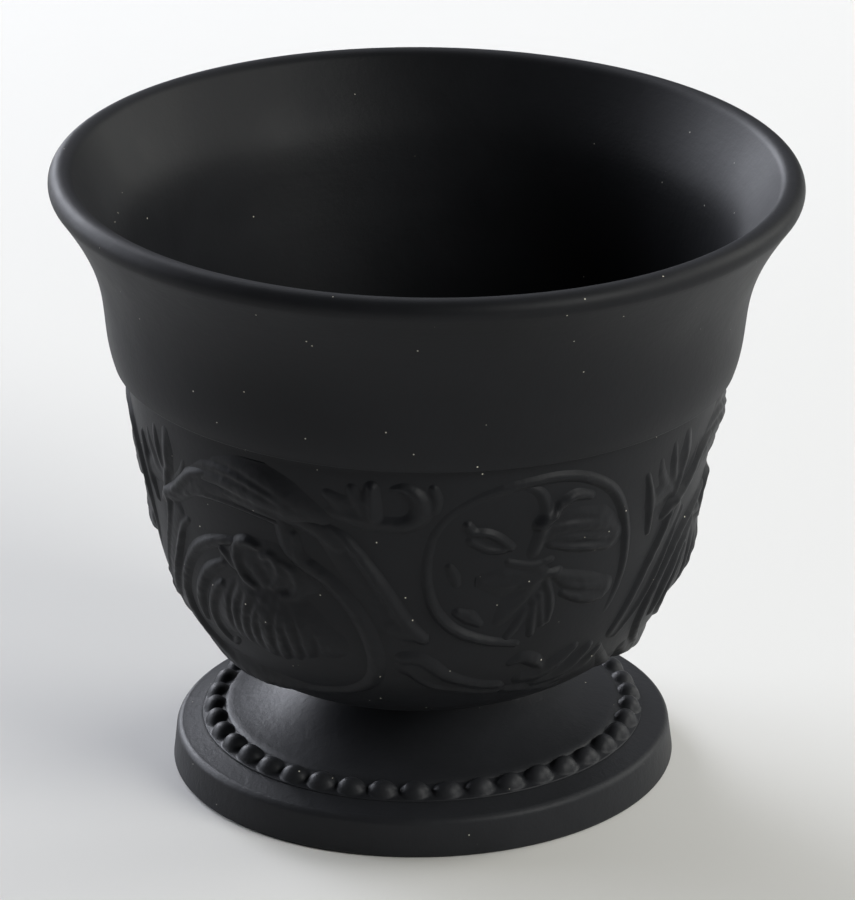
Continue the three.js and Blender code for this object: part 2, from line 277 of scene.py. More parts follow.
def closed_piece(name, corners, faces, material):
    """A smooth mesh object from corners in millimetres; its faces are turned outwards by its volume."""
    corners = fired(corners) * MM
    triangles = [(face[0], face[i], face[i + 1]) for face in faces for i in range(1, len(face) - 1)]
    a, b, c = (corners[[t[i] for t in triangles]] for i in range(3))
    volume = np.einsum("ij,ij->i", a, np.cross(b, c)).sum() / 6
    if volume < 0:
        faces = [tuple(reversed(face)) for face in faces]
    mesh = bpy.data.meshes.new(name)
    mesh.from_pydata(corners.tolist(), [], [tuple(face) for face in faces])
    mesh.polygons.foreach_set("use_smooth", np.ones(len(mesh.polygons), bool))
    mesh.materials.append(material)
    piece = bpy.data.objects.new(name, mesh)
    bpy.context.scene.collection.objects.link(piece)
    print(f"{name}: {len(triangles)} triangles, {abs(volume) / MM ** 3:.1f} mm3")
    return piece


def turned(name, outline, material):
    """A closed shell from an outline that starts and ends on the axis."""
    rings = np.array(outline)[1:-1]
    angle = np.linspace(0, 2 * math.pi, ROUND_STEPS, endpoint=False)
    corners = [(0, 0, outline[0][1])]
    for radius, height in rings:
        corners += list(zip(radius * np.sin(angle), -radius * np.cos(angle), np.full(ROUND_STEPS, height)))
    corners.append((0, 0, outline[-1][1]))
    last = len(corners) - 1
    faces = []
    for j in range(ROUND_STEPS):
        k = (j + 1) % ROUND_STEPS
        faces.append((0, 1 + j, 1 + k))
        for i in range(len(rings) - 1):
            low, high = 1 + i * ROUND_STEPS, 1 + (i + 1) * ROUND_STEPS
            faces.append((low + j, high + j, high + k, low + k))
        top = 1 + (len(rings) - 1) * ROUND_STEPS
        faces.append((top + j, last, top + k))
    return closed_piece(name, corners, faces, material)


def stand_for(piece, node):
    """The piece takes the place of a solid and rides on the cup."""
    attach(piece, "root")
    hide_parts(node)


print(f"the bowl leans by {math.degrees(BOWL_TILT):.2f} degrees")

# %% [markdown]
# ## Bowl
# The bowl is one thrown piece. Ground, band and well could be meshes of their own, but one wall of clay
# carries them all. So one outline is turned, up the outside, over the lip and down the well to the axis.

# %% Bowl
bowl_outline = np.vstack([
    [(0, neck_height)], under_bowl, shoulder[1:], ledge[1:], band[1:], lip_arc[1:-1],
    inner_wall[::-1], well[::-1][1:],
])
bowl = turned("turned_bowl", bowl_outline, bowl_stoneware)
stand_for(bowl, "bowl")

# %% [markdown]
# ## Foot
# The foot is turned in one piece: a low cone that rises to the neck, a shallow channel where the beads are
# laid, a border with a rounded edge, and a resting ring round a dished recess underneath. A square channel
# would be plainer, but the cone and the border run down into it, so that no gap shows beside the beads.

# %% Foot
EDGE_HEIGHT = 2.95
EDGE_ROUNDING = 0.6
TAPER = 0.25
HEM = 0.3
BORDER = 1.8
BORDER_RISE = 0.42
CHANNEL = 0.15
RESTING_RING = 3.0
RECESS = 1.2
DOMING = 0.4
RECESS_SIDE = 0.8
CHANNEL_LIP = 0.2
BORDER_LIP = 0.05
TOE_WIDTH = 0.75
cone_foot = (14.0, 4.3)

side_top = foot_radius - TAPER
border_top = EDGE_HEIGHT + BORDER_RISE
channel_floor = border_top - CHANNEL
recess_radius = foot_radius - RESTING_RING
edge_centre = (side_top - EDGE_ROUNDING, EDGE_HEIGHT - EDGE_ROUNDING)
cone = sweep(cone_foot, (0.44, 0.15), neck, (0.14, 0.5))
recess_corner = (recess_radius - RECESS_SIDE, RECESS)
border_end = (bead_outer_radius - CHANNEL_LIP, border_top + BORDER_LIP)
channel_out = (border_end[0] - CHANNEL_LIP, channel_floor)
channel_in = (cone_foot[0] + TOE_WIDTH, channel_floor)
foot_outline = np.vstack([
    sweep((0, RECESS + DOMING), (0.5, 0), recess_corner, (0.1, 0.3), 16),
    sweep(recess_corner, (0.3, 0.1), (recess_radius, 0), (0.05, 0.4), 10)[1:],
    [(foot_radius - HEM - 1.2, 0)],
    arc((foot_radius - HEM, HEM), HEM, -90, 0, 7),
    arc(edge_centre, EDGE_ROUNDING, 0, 90, 12),
    [(side_top - BORDER, border_top)],
    sweep(border_end, (0.5, 0), channel_out, (0.5, 0), 7),
    sweep(channel_in, (0.08, 0.75), cone_foot, (0.75, 0.12), 14),
    cone[1:],
    [(0, neck_height)],
])
foot = turned("turned_foot", foot_outline, foot_stoneware)
stand_for(foot, "foot")

# %% [markdown]
# ## Beads
# The row of beads is one strip of clay that was pressed with a toothed wheel, so low clay stays between the
# beads and at both sides of them. Forty-one spheres would stand apart and show gaps. Geometry Nodes suit a
# strip better: a plain arch is swept round the ring, and one rule then sets the height of each place from
# how far it is from the middle of its bead. A seeded number gives each bead a slightly different height.

# %% Beads by Geometry Nodes
BEADS = 41
STEPS_PER_BEAD = 20
SECTION_STEPS = 25
BEAD_WIDTH = 2.2
BEAD_SHARE = 0.84
BEAD_SHIFT = 0.12
WEB_MIDDLE = 0.42
WEB_SLOPE = -0.3
MELT = 0.3
LEAST_BEAD = 0.88
BEAD_SEED = 4


def bead_strip_tree():
    """Geometry Nodes tree of a beaded strip on a circle."""
    tree = bpy.data.node_groups.new("beaded_strip", "GeometryNodeTree")
    sockets = tree.interface
    sockets.new_socket("Geometry", in_out="OUTPUT", socket_type="NodeSocketGeometry")
    for name, kind in [("Beads", "Int"), ("Ring radius", "Float"), ("Width", "Float"), ("Height", "Float"),
                       ("Seat", "Float"), ("Bead share", "Float"), ("Least size", "Float"), ("Seed", "Int"),
                       ("Material", "Material")]:
        sockets.new_socket(name, in_out="INPUT", socket_type="NodeSocket" + kind)
    given = add_node(tree, "NodeGroupInput").outputs

    def maths(operation, *values):
        return add_node(tree, "ShaderNodeMath", {"operation": operation},
                        **{f"_{i}": value for i, value in enumerate(values)}).outputs[0]

    def squared(value):
        return maths("MULTIPLY", value, value)

    # A plain arch is swept round the ring on the channel's floor.
    steps = maths("MULTIPLY", given["Beads"], STEPS_PER_BEAD)
    ring = add_node(tree, "GeometryNodeCurvePrimitiveCircle", Resolution=steps, Radius=given["Ring radius"])
    half_round = add_node(tree, "GeometryNodeCurveArc", Resolution=SECTION_STEPS, Radius=1.0,
                          Start_Angle=math.radians(180), Sweep_Angle=math.radians(180))
    section = add_node(tree, "GeometryNodeSetSplineCyclic", Geometry=half_round.outputs["Curve"],
                       Cyclic=True).outputs[0]
    half_width = maths("DIVIDE", given["Width"], 2.0)
    stretch = add_node(tree, "ShaderNodeCombineXYZ", X=half_width, Y=given["Height"], Z=1.0).outputs[0]
    arch = add_node(tree, "GeometryNodeTransform", Geometry=section, Scale=stretch).outputs[0]
    strip = add_node(tree, "GeometryNodeCurveToMesh", Curve=ring.outputs["Curve"],
                     Profile_Curve=arch).outputs[0]

    # Where a place is: along its bead and across the strip, each from -1 to 1.
    place = add_node(tree, "GeometryNodeInputPosition").outputs[0]
    x, y, z = add_node(tree, "ShaderNodeSeparateXYZ", Vector=place).outputs
    turns = maths("DIVIDE", maths("ARCTAN2", y, x), 2 * math.pi)
    bead_count = maths("MULTIPLY", turns, given["Beads"])
    along = maths("SUBTRACT", maths("MULTIPLY", maths("FRACT", bead_count), 2.0), 1.0)
    radius = maths("SQRT", maths("ADD", squared(x), squared(y)))
    across = maths("DIVIDE", maths("SUBTRACT", radius, given["Ring radius"]), half_width)

    # Each bead is a dome, and the clay round it stays as a low web that is higher on the cone's side. The
    # strip's flat under side stays on the channel's floor.
    size = add_node(tree, "FunctionNodeRandomValue", {"data_type": "FLOAT"}, _2=given["Least size"], _3=1.0,
                    ID=maths("FLOOR", bead_count), Seed=given["Seed"]).outputs[1]
    from_middle = maths("DIVIDE", maths("SUBTRACT", across, BEAD_SHIFT), given["Bead share"])
    fall = maths("ADD", squared(along), squared(from_middle))
    dome = maths("MULTIPLY", maths("SQRT", maths("MAXIMUM", maths("SUBTRACT", 1.0, fall), 0.0)), size)
    web = maths("ADD", maths("MULTIPLY", across, WEB_SLOPE), WEB_MIDDLE)
    level = maths("MULTIPLY", maths("SMOOTH_MAX", dome, web, MELT), given["Height"])
    upper = maths("GREATER_THAN", z, maths("MULTIPLY", given["Height"], 0.01))
    risen = maths("ADD", maths("MULTIPLY", level, upper), given["Seat"])
    target = add_node(tree, "ShaderNodeCombineXYZ", X=x, Y=y, Z=risen).outputs[0]
    pressed = add_node(tree, "GeometryNodeSetPosition", Geometry=strip, Position=target).outputs[0]
    smooth_strip = add_node(tree, "GeometryNodeSetShadeSmooth", Geometry=pressed).outputs[0]
    real = add_node(tree, "GeometryNodeRealizeInstances", Geometry=smooth_strip).outputs[0]
    finished = add_node(tree, "GeometryNodeSetMaterial", Geometry=real, Material=given["Material"])
    add_node(tree, "NodeGroupOutput", Geometry=finished.outputs[0])
    return tree


def made_by(tree, name, material, **inputs):
    """Runs a tree with its inputs set and gives the result as corners and faces of a plain mesh."""
    holder = bpy.data.objects.new(name + "_rule", bpy.data.meshes.new(name + "_rule"))
    bpy.context.scene.collection.objects.link(holder)
    modifier = holder.modifiers.new("rule", "NODES")
    modifier.node_group = tree
    inputs["Material"] = material
    for item in tree.interface.items_tree:
        if item.in_out == "INPUT":
            modifier[item.identifier] = inputs[item.name.replace(" ", "_")]
    depsgraph = bpy.context.evaluated_depsgraph_get()
    mesh = bpy.data.meshes.new_from_object(holder.evaluated_get(depsgraph))
    bpy.data.objects.remove(holder)
    return mesh


def plain_piece(name, mesh, material):
    """Rebuilds a mesh in metres as a closed piece that leans with the cup."""
    corners = np.array([corner.co for corner in mesh.vertices]) / MM
    faces = [tuple(face.vertices) for face in mesh.polygons]
    bpy.data.meshes.remove(mesh)
    return closed_piece(name, corners, faces, material)


ring_radius = bead_outer_radius - BEAD_WIDTH / 2
bead_mesh = made_by(
    bead_strip_tree(), "beads", bead_stoneware, Beads=BEADS, Ring_radius=ring_radius * MM,
    Width=BEAD_WIDTH * MM, Height=(bead_top - bead_seat) * MM, Seat=bead_seat * MM,
    Bead_share=BEAD_SHARE, Least_size=LEAST_BEAD, Seed=BEAD_SEED)
beads = plain_piece("pressed_beads", bead_mesh, bead_stoneware)
stand_for(beads, "bead_strip")

# %% [markdown]
# ## The frieze: drawing relief on a card
# A sprig is pressed in a small mould, and its face is a height above the bowl at each place. It could be
# sculpted by hand or pushed out of the bowl by a displacement, but then it would not be a piece of its own.
# Here each one is drawn on a card whose width is degrees round the bowl and whose height is millimetres from
# the neck up. Strokes are laid on it and melt into each other, and the heights are wrapped on the bowl.

# %% The card and its strokes
CARD_CELL = 0.1
LINE_STEP = 0.12
STROKE_MARGIN = 0.2
RELIEF = 0.64
under_ledge = (ground_top[0] + 0.02, band_foot[1] - LEDGE_ROUNDING)
ground = np.vstack([under_bowl, shoulder[1:], [under_ledge]])
ground_out = outward(ground)
ground_length = np.concatenate([[0], np.cumsum(np.linalg.norm(np.diff(ground, axis=0), axis=1))])
BELLY_DEGREE = math.radians(1) * belly[0]


def card(from_degrees, to_degrees, low, high):
    """A grid of places: degrees, heights, and how wide a degree is at each height."""
    degrees, heights = np.meshgrid(np.arange(from_degrees, to_degrees, CARD_CELL / BELLY_DEGREE),
                                   np.arange(low, high, CARD_CELL))
    radius = np.interp(heights, ground_length, ground[:, 0])
    return {"degrees": degrees, "heights": heights, "width": np.radians(1) * radius}


def smooth_line(points):
    """Close points on a smooth line through the chosen ones, and how far along each is."""
    points = np.array(points, float)
    if len(points) == 2:
        points = np.array([points[0], points.mean(axis=0), points[1]])
    chord = np.hypot(np.diff(points[:, 0]) * BELLY_DEGREE, np.diff(points[:, 1]))
    knots = np.concatenate([[0], np.cumsum(chord)])
    slopes = np.gradient(points, knots, axis=0)
    where = np.linspace(0, knots[-1], int(knots[-1] / LINE_STEP) + 3)
    i = np.clip(np.searchsorted(knots, where, side="right") - 1, 0, len(knots) - 2)
    gap = (knots[i + 1] - knots[i])[:, None]
    t = (where[:, None] - knots[i][:, None]) / gap
    line = (2 * t ** 3 - 3 * t ** 2 + 1) * points[i] + (t ** 3 - 2 * t ** 2 + t) * gap * slopes[i]
    line += (3 * t ** 2 - 2 * t ** 3) * points[i + 1] + (t ** 3 - t ** 2) * gap * slopes[i + 1]
    return line, where / knots[-1]


def spread(value, share):
    """One number stays as it is, and a list is spread evenly along the stroke."""
    if np.isscalar(value):
        return np.full(np.shape(share), float(value))
    return np.interp(share, np.linspace(0, 1, len(value)), value)


def dome(across):
    return (1 - across ** 2) ** 1.5


def stroke(sheet, points, width, rise, top=dome):
    """A stroke along a line: rise is a share of RELIEF, and top gives its section from -1 to 1 across."""
    line, share = smooth_line(points)
    half, lift = spread(width, share) / 2, spread(rise, share)
    reach = half.max() + STROKE_MARGIN
    middle, extent = (line[:, 0].min() + line[:, 0].max()) / 2, np.ptp(line[:, 0]) / 2
    near = np.abs(sheet["degrees"] - middle) * sheet["width"] < extent * sheet["width"] + reach
    near &= (sheet["heights"] > line[:, 1].min() - reach) & (sheet["heights"] < line[:, 1].max() + reach)
    height = np.zeros(near.shape)
    if not near.any():
        return height
    degree = sheet["width"][near][:, None]
    right = (sheet["degrees"][near][:, None] - line[:, 0]) * degree
    up = sheet["heights"][near][:, None] - line[:, 1]
    gap = right ** 2 + up ** 2
    nearest = gap.argmin(axis=1)
    rows = np.arange(len(nearest))
    heading = (np.gradient(line, axis=0) * [BELLY_DEGREE, 1])[nearest]
    side = np.sign(heading[:, 0] * up[rows, nearest] - heading[:, 1] * right[rows, nearest])
    across = np.sqrt(gap[rows, nearest]) / half[nearest] * side
    height[near] = RELIEF * lift[nearest] * top(np.clip(across, -1, 1))
    return height


print(f"the card is {ground_length[-1]:.1f} mm tall, from the neck up to the ledge")

# %% [markdown]
# ## The frieze: sections and joins
# A mould maker cuts a stem as a rounded cord, and pressed clay loses its sharp edges. Smooth sections and a
# soft maximum of the strokes do the same, where a plain maximum would leave a hard crease at each crossing.

# %% Sections of a stroke, and how strokes join
SOFT_PASSES = 6
UNEVEN_PASSES = 14
UNEVENNESS = 0.03


def cord(across):
    """A section with steep sides and a nearly flat top."""
    return ease(1.25 * (1 - np.abs(across)))


def petal(across):
    """A rounded section with a faint groove on both sides of its middle."""
    return dome(across) * (0.94 + 0.06 * np.cos(2.2 * math.pi * across))


def melted(*layers, blend=3):
    """Strokes of one sprig melt into each other where they meet."""
    return sum(np.clip(layer, 0, None) ** blend for layer in layers) ** (1 / blend)


def strokes(sheet, rows, ends=None, top=dome):
    """A stroke for each row of line, width and rise; ends are the shares of the rise left at both ends."""
    return [stroke(sheet, line, width, [rise * ends[0], rise, rise, rise * ends[1]] if ends else rise, top)
            for line, width, rise in rows]


def veins(sheet, lines, width=0.45, rise=0.13):
    """Fine lines that stand a little higher than what they run over."""
    return sum(strokes(sheet, [(line, width, rise) for line in lines], (0.5, 0.5)))


def creased(sheet, height, lines, width=0.6, depth=0.4):
    """Fine grooves in a raised form, which never reach the bowl."""
    cut = sum(strokes(sheet, [(line, width, depth) for line in lines], (0.3, 0.3)))
    return np.maximum(height - cut, 0.4 * height)


def softened(height, passes):
    """Slip and fingers take the sharpness off a pressed sprig."""
    for _ in range(passes):
        wide = np.pad(height, 1, mode="edge")
        height = (wide[1:-1, :-2] + wide[1:-1, 2:] + wide[:-2, 1:-1] + wide[2:, 1:-1] + 4 * height) / 8
    return height


def uneven(height, seed):
    """Clay that was pressed and smoothed by hand isn't quite even."""
    grain = softened(np.random.default_rng(seed).normal(size=height.shape), UNEVEN_PASSES)
    return height * (1 + UNEVENNESS * grain / grain.std())


# %% [markdown]
# ## Wrapping a sprig on the bowl
# A sprig is laid on soft and follows the bowl. A Shrinkwrap modifier could bend a flat one to it, but the
# card already says where each height belongs. Only the cells that rise off the bowl are kept. Their rim dips
# a little under the bowl's face, as luted clay does. A lower copy and a wall round the rim close the piece.

# %% From heights to a closed sprig
LEAST_RISE = 0.004
RIM_DIP = 0.05
BED_DEPTH = 0.2


def filled(keep):
    """Cells that touch only at a corner get a neighbour, so the sprig's rim is one clean wall."""
    for _ in range(4):
        a, b, c, d = keep[:-1, :-1], keep[1:, 1:], keep[1:, :-1], keep[:-1, 1:]
        falling, rising = a & b & ~c & ~d, c & d & ~a & ~b
        keep[1:, :-1] |= falling
        keep[:-1, :-1] |= rising
    return keep


def on_bowl(degrees, heights, lift):
    """Places on the bowl in millimetres, raised by lift from its face."""
    radius, level = (np.interp(heights, ground_length, ground[:, i]) for i in (0, 1))
    out, up = (np.interp(heights, ground_length, ground_out[:, i]) for i in (0, 1))
    angle = np.radians(degrees)
    reach = radius + out * lift
    return np.column_stack([reach * np.sin(angle), -reach * np.cos(angle), level + up * lift])


def sprig(name, sheet, height, turn):
    """A closed sprig from its heights, turned round the bowl."""
    raised = height > LEAST_RISE
    keep = filled(raised[:-1, :-1] | raised[1:, :-1] | raised[:-1, 1:] | raised[1:, 1:])
    rows, columns = np.nonzero(keep)
    across = height.shape[1]
    low = rows * across + columns
    quads = np.column_stack([low, low + 1, low + across + 1, low + across])
    used, quads = np.unique(quads, return_inverse=True)
    quads = quads.reshape(-1, 4)
    degrees, heights = sheet["degrees"].ravel()[used] + turn, sheet["heights"].ravel()[used]
    top = on_bowl(degrees, heights, height.ravel()[used] - RIM_DIP)
    bed = on_bowl(degrees, heights, np.full(len(used), -BED_DEPTH))
    starts, ends = quads.ravel(), np.roll(quads, -1, axis=1).ravel()
    edges = set(zip(starts.tolist(), ends.tolist()))
    count = len(used)
    walls = [(b, a, a + count, b + count) for a, b in edges if (b, a) not in edges]
    faces = quads.tolist() + (quads[:, ::-1] + count).tolist() + walls
    return closed_piece(name, np.vstack([top, bed]), faces, sprig_stoneware)


# %% [markdown]
# ## The stems
# The frieze is a waving stem that throws a scroll up and a scroll down, with a flower in each and leaves in
# the corners. Each function below draws one sprig, after the photograph: places are degrees to the right of
# the front and millimetres up from the neck, and widths are millimetres. Traced curves could be imported,
# but a list of places can be changed here and run again. The real stem is two cords that end in a knot.


# %% Stems
def main_stem(sheet):
    """The waving stem: two cords, a knot, a crest and the fall to the next trough."""
    upper = [(45.6, 13.9), (47.6, 15.2), (50, 16.8), (52.4, 18.4), (54.6, 19.8), (56.4, 21),
             (57.8, 22.2), (58.8, 23.4)]
    lower = [(47.8, 13.4), (51.4, 15.1), (55, 16.9), (58, 18.6), (60.4, 20.1), (62.4, 21.3),
             (64.6, 22)]
    between = [(46.6, 13.8), (50.2, 15.6), (53.6, 17.6), (56.6, 19.5), (59.2, 21.2), (61.2, 22.4)]
    bed = stroke(sheet, between, [1.6, 1.8, 2, 2.2, 2.2], 0.3, cord)
    ridges = strokes(sheet, [(upper, [0.7, 0.85, 0.9, 0.9, 0.9], [0.3, 0.5, 0.56, 0.6, 0.66]),
                             (lower, [0.7, 0.85, 0.9, 0.85, 0.7], [0.44, 0.66, 0.72, 0.64, 0.3])])
    knot = stroke(sheet, [(55.6, 22.6), (58, 23.4), (61.4, 24), (64.6, 25), (68, 26.1), (72.5, 26.8),
                          (78, 27)],
                  [1.1, 1.7, 1.5, 1.3, 1.2, 1.1, 0.9], [0.5, 0.86, 0.74, 0.66, 0.58, 0.46, 0.3])
    crest = stroke(sheet, [(60.5, 23.2), (64.5, 24.2), (69, 25.3), (75, 25.9), (82, 26), (88, 25.8),
                           (94, 25.4), (99.5, 24.6), (103, 23.7)],
                   [1, 1.7, 2.2, 2.3, 2.2, 2, 1.9, 1.9], 0.46, cord)
    hem = stroke(sheet, [(66.5, 24.4), (70, 24.9), (75, 25.15), (81, 25.15), (87, 24.9), (92, 24.5)], 0.55,
                 [0.4, 0.56, 0.6, 0.56, 0.4])
    falling = stroke(sheet, [(100.5, 24.2), (104, 22.6), (107.2, 21), (110.2, 19.3), (113, 17.9),
                             (116, 16.6)], [1.8, 2.6, 3.2, 3.6, 3.6, 3], 0.3)
    edge = stroke(sheet, [(101, 25), (103.6, 24.5), (106.2, 23.4), (108.6, 22.1), (110.8, 20.8),
                          (113, 19.4), (115.2, 18), (117.6, 16.9), (119.8, 16.1)],
                  [0.9, 1.1, 1.3, 1.3, 1.2], [0.3, 0.7, 0.8, 0.84, 0.84, 0.78, 0.6])
    collar = stroke(sheet, [(113.4, 17), (116.6, 16.6), (120.2, 16.1)], [2.4, 1.8, 0.8],
                    [0.44, 0.56, 0.5], cord)
    return melted(bed, *ridges, knot, crest, hem, falling, edge, collar)


def trough_stem(sheet):
    """The bottom of the wave: the same two cords."""
    upper = [(-4.4, 14.3), (-1.6, 14.3), (1.4, 13.7), (4.4, 12.7), (8, 12), (12.4, 11.4), (17.6, 11)]
    lower = [(-2.6, 12.7), (-0.6, 12), (1.8, 11.4), (5, 11), (9, 10.7), (13.4, 10.3), (18, 10.1)]
    between = [((a + c) / 2, (b + d) / 2) for (a, b), (c, d) in zip(upper, lower)]
    return melted(stroke(sheet, between, [2.6, 2.6, 2.2, 2, 1.6], 0.34, cord),
                  stroke(sheet, upper, [1.5, 1.5, 1.2, 1, 0.9], [0.56, 0.62, 0.6, 0.5]),
                  stroke(sheet, lower, [0.9, 1, 1, 0.9], [0.36, 0.5, 0.5, 0.45]))


def under_tendril(sheet):
    """A tendril that runs along under the wave."""
    return stroke(sheet, [(43.4, 12.9), (45.2, 12), (47.8, 11), (51, 9.9), (55.5, 8.7), (61, 7.8),
                          (67, 7.1), (74, 6.7)],
                  [1.1, 1.5, 1.7, 1.8, 1.8, 1.4], [0.14, 0.2, 0.26, 0.4, 0.56, 0.4])


# %% [markdown]
# ## The scrolls
# Each scroll is a thin cord that leaves the stem and winds round a flower. A spiral formula would be too
# even, so the cord follows places read from the photograph.


# %% Scrolls
def high_scroll(sheet):
    """The scroll over the wave, round the open flower."""
    return stroke(sheet, [
        (41.6, 16.2), (43.4, 17.6), (44.5, 19.3), (44.3, 21.5), (43, 23.5), (41.1, 25.2), (38.6, 26.6),
        (35, 27.7), (30.5, 28.5), (26, 28.8), (20, 28.7), (14, 28.3), (8.5, 27.5), (4.4, 26.4), (1.9, 25.1),
        (0.6, 23.4), (0.3, 21.4), (1, 19.8), (2.5, 18.4), (5.2, 17.2), (8.6, 16.4), (12, 15.9), (16, 15.5),
        (19.8, 15.2)],
        [0.8, 0.9, 1, 1, 1, 1, 1, 0.9, 0.8, 0.8, 1, 1, 0.8],
        [0.1, 0.4, 0.6, 0.66, 0.56, 0.48, 0.4, 0.22, 0.3, 0.6, 0.76, 0.72, 0.4])


def low_scroll(sheet):
    """The scroll under the wave, round the drooping flower, with a sheath at its root."""
    ring = stroke(sheet, [
        (-23, 21.5), (-20, 20.7), (-17, 19.6), (-14.4, 18.4), (-12.4, 17), (-11, 15.5),
        (-10.4, 14), (-10.9, 12.5), (-13, 11.2), (-17.4, 10.1), (-24, 9.4), (-33, 8.9), (-43, 9),
        (-52, 9.8), (-59, 11.2), (-63.2, 13.2), (-63, 15.2), (-60.2, 17.2), (-56.4, 19),
        (-52, 20.4), (-46.6, 21.4), (-41.6, 21.9), (-38, 22)],
        [1.5, 1.6, 1.6, 1.5, 1.4, 1.2, 1.2, 1.2, 1.2, 1.3, 1.3, 1.3, 1.3, 1.2, 0.9],
        [0.5, 0.6, 0.62, 0.4, 0.4, 0.5, 0.6, 0.6, 0.64, 0.6, 0.4])
    swell = stroke(sheet, [(-64, 11), (-59, 9.9), (-53, 9.3), (-46, 9), (-38, 8.9), (-30, 9.2)],
                   [1.6, 3, 3.6, 3.4, 2.6, 1.4], [0.3, 0.8, 1, 0.95, 0.7, 0.2])
    sheath = stroke(sheet, [(-28.8, 24.9), (-27.9, 23.7), (-27, 22.6), (-24.8, 21.7), (-21.6, 20.9)],
                    [1.8, 2.2, 2.2, 1.9, 1.5], [0.34, 0.44, 0.48, 0.5], cord)
    lip = stroke(sheet, [(-26.2, 24), (-25.8, 23.1), (-26, 22.2)], 0.6, 0.56)
    return melted(ring, swell, sheath, lip)


# %% [markdown]
# ## The flowers
# A flower hangs in the low scroll, broad as a bell, and another opens to the right in the high one. Free
# petals could be modelled one by one, but a pressed sprig has no hollows behind them. So each flower is a
# low mass with petals on it and fine grooves cut in it.


# %% Flowers
def drooping_flower(sheet):
    """A bell with eight creases, two curled petals at its left and a curl and lobes at its root."""
    bell = stroke(sheet, [(-49.5, 14.4), (-45, 15.2), (-40, 15.8), (-32, 15.9), (-25.5, 15.5),
                          (-20.5, 15)],
                  [3, 6.2, 7.8, 8, 6.6, 3.4], [0.2, 0.75, 1.1, 1.2, 0.95, 0.45])
    outer = stroke(sheet, [(-57.6, 13.4), (-56.6, 15.4), (-54.2, 17), (-51, 18.4), (-47.6, 19.3),
                           (-45.2, 19.8)],
                   [0.8, 1.2, 1.4, 1.3, 1.1, 0.8], [0.4, 0.6, 0.66, 0.66, 0.6, 0.4])
    spoon = stroke(sheet, [(-46.8, 17.9), (-49.4, 17), (-51.8, 15.6), (-52.8, 14.2), (-51.6, 12.9),
                           (-49, 12.3), (-46.8, 12.8)],
                   [0.8, 1.2, 1.3, 1.2, 1.1, 1, 0.7], [0.5, 0.6, 0.6, 0.55, 0.5, 0.45, 0.3])
    bed = stroke(sheet, [(-44, 20.6), (-38, 20.8), (-32, 20.8), (-25, 20.4)], [2.4, 4.8, 5, 3.4],
                 [0.2, 0.44, 0.5, 0.4])
    curl = stroke(sheet, [(-35, 22.2), (-37.6, 22.4), (-40, 21.9), (-41, 20.9), (-40.4, 19.8),
                          (-38.6, 19.1), (-36.6, 18.8)],
                  [0.8, 1.2, 1.4, 1.4, 1.3, 1.2, 0.9], 0.74)
    lobes = strokes(sheet, [
        ([(-37.4, 20.5), (-35.6, 19.9), (-34.2, 19.3)], [1.4, 2.2, 1.8], [0.4, 0.6, 0.56]),
        ([(-34, 21.6), (-32, 21.8), (-30.4, 21), (-30.6, 19.8), (-32.4, 19.2)],
         [0.9, 1.2, 1.3, 1.3, 1], 0.66),
        ([(-29.4, 21.4), (-27, 20.8), (-26, 19.7), (-27.4, 18.8), (-30, 18.5)],
         [0.9, 1.2, 1.4, 1.4, 1.1], 0.6),
    ])
    sepal = stroke(sheet, [(-45.6, 21), (-44, 20.6), (-42.2, 19.9)], [0.6, 1.1, 0.9], 0.56)
    fine_veins = veins(sheet, [[(-52.6, 16.4), (-50.2, 17.4), (-47.4, 18.6)],
                               [(-56, 14.4), (-54.8, 16), (-52.4, 17.4)]])
    return creased(sheet, melted(bell, outer, spoon, bed, curl, sepal, *lobes), [
        [(-46, 13.6), (-45.5, 15), (-44.6, 16.8), (-42.4, 18.4)],
        [(-43.4, 13.4), (-42.9, 14.8), (-42.2, 16.2), (-40.2, 17.8)],
        [(-40.9, 12.6), (-40.2, 14.5), (-39, 16.2), (-36.6, 17.8)],
        [(-37.6, 13), (-37.3, 14.8), (-36.3, 16.6)],
        [(-34.4, 12.4), (-33.5, 14.5), (-32.9, 16.2), (-31.6, 17.8)],
        [(-30.6, 12.8), (-30.2, 14.6), (-30.6, 16.4)],
        [(-27.5, 12.4), (-27.2, 14.5), (-27.6, 16), (-29, 17.8)],
        [(-23.6, 12.8), (-23.4, 14.4), (-24.4, 16.4)]]) + fine_veins


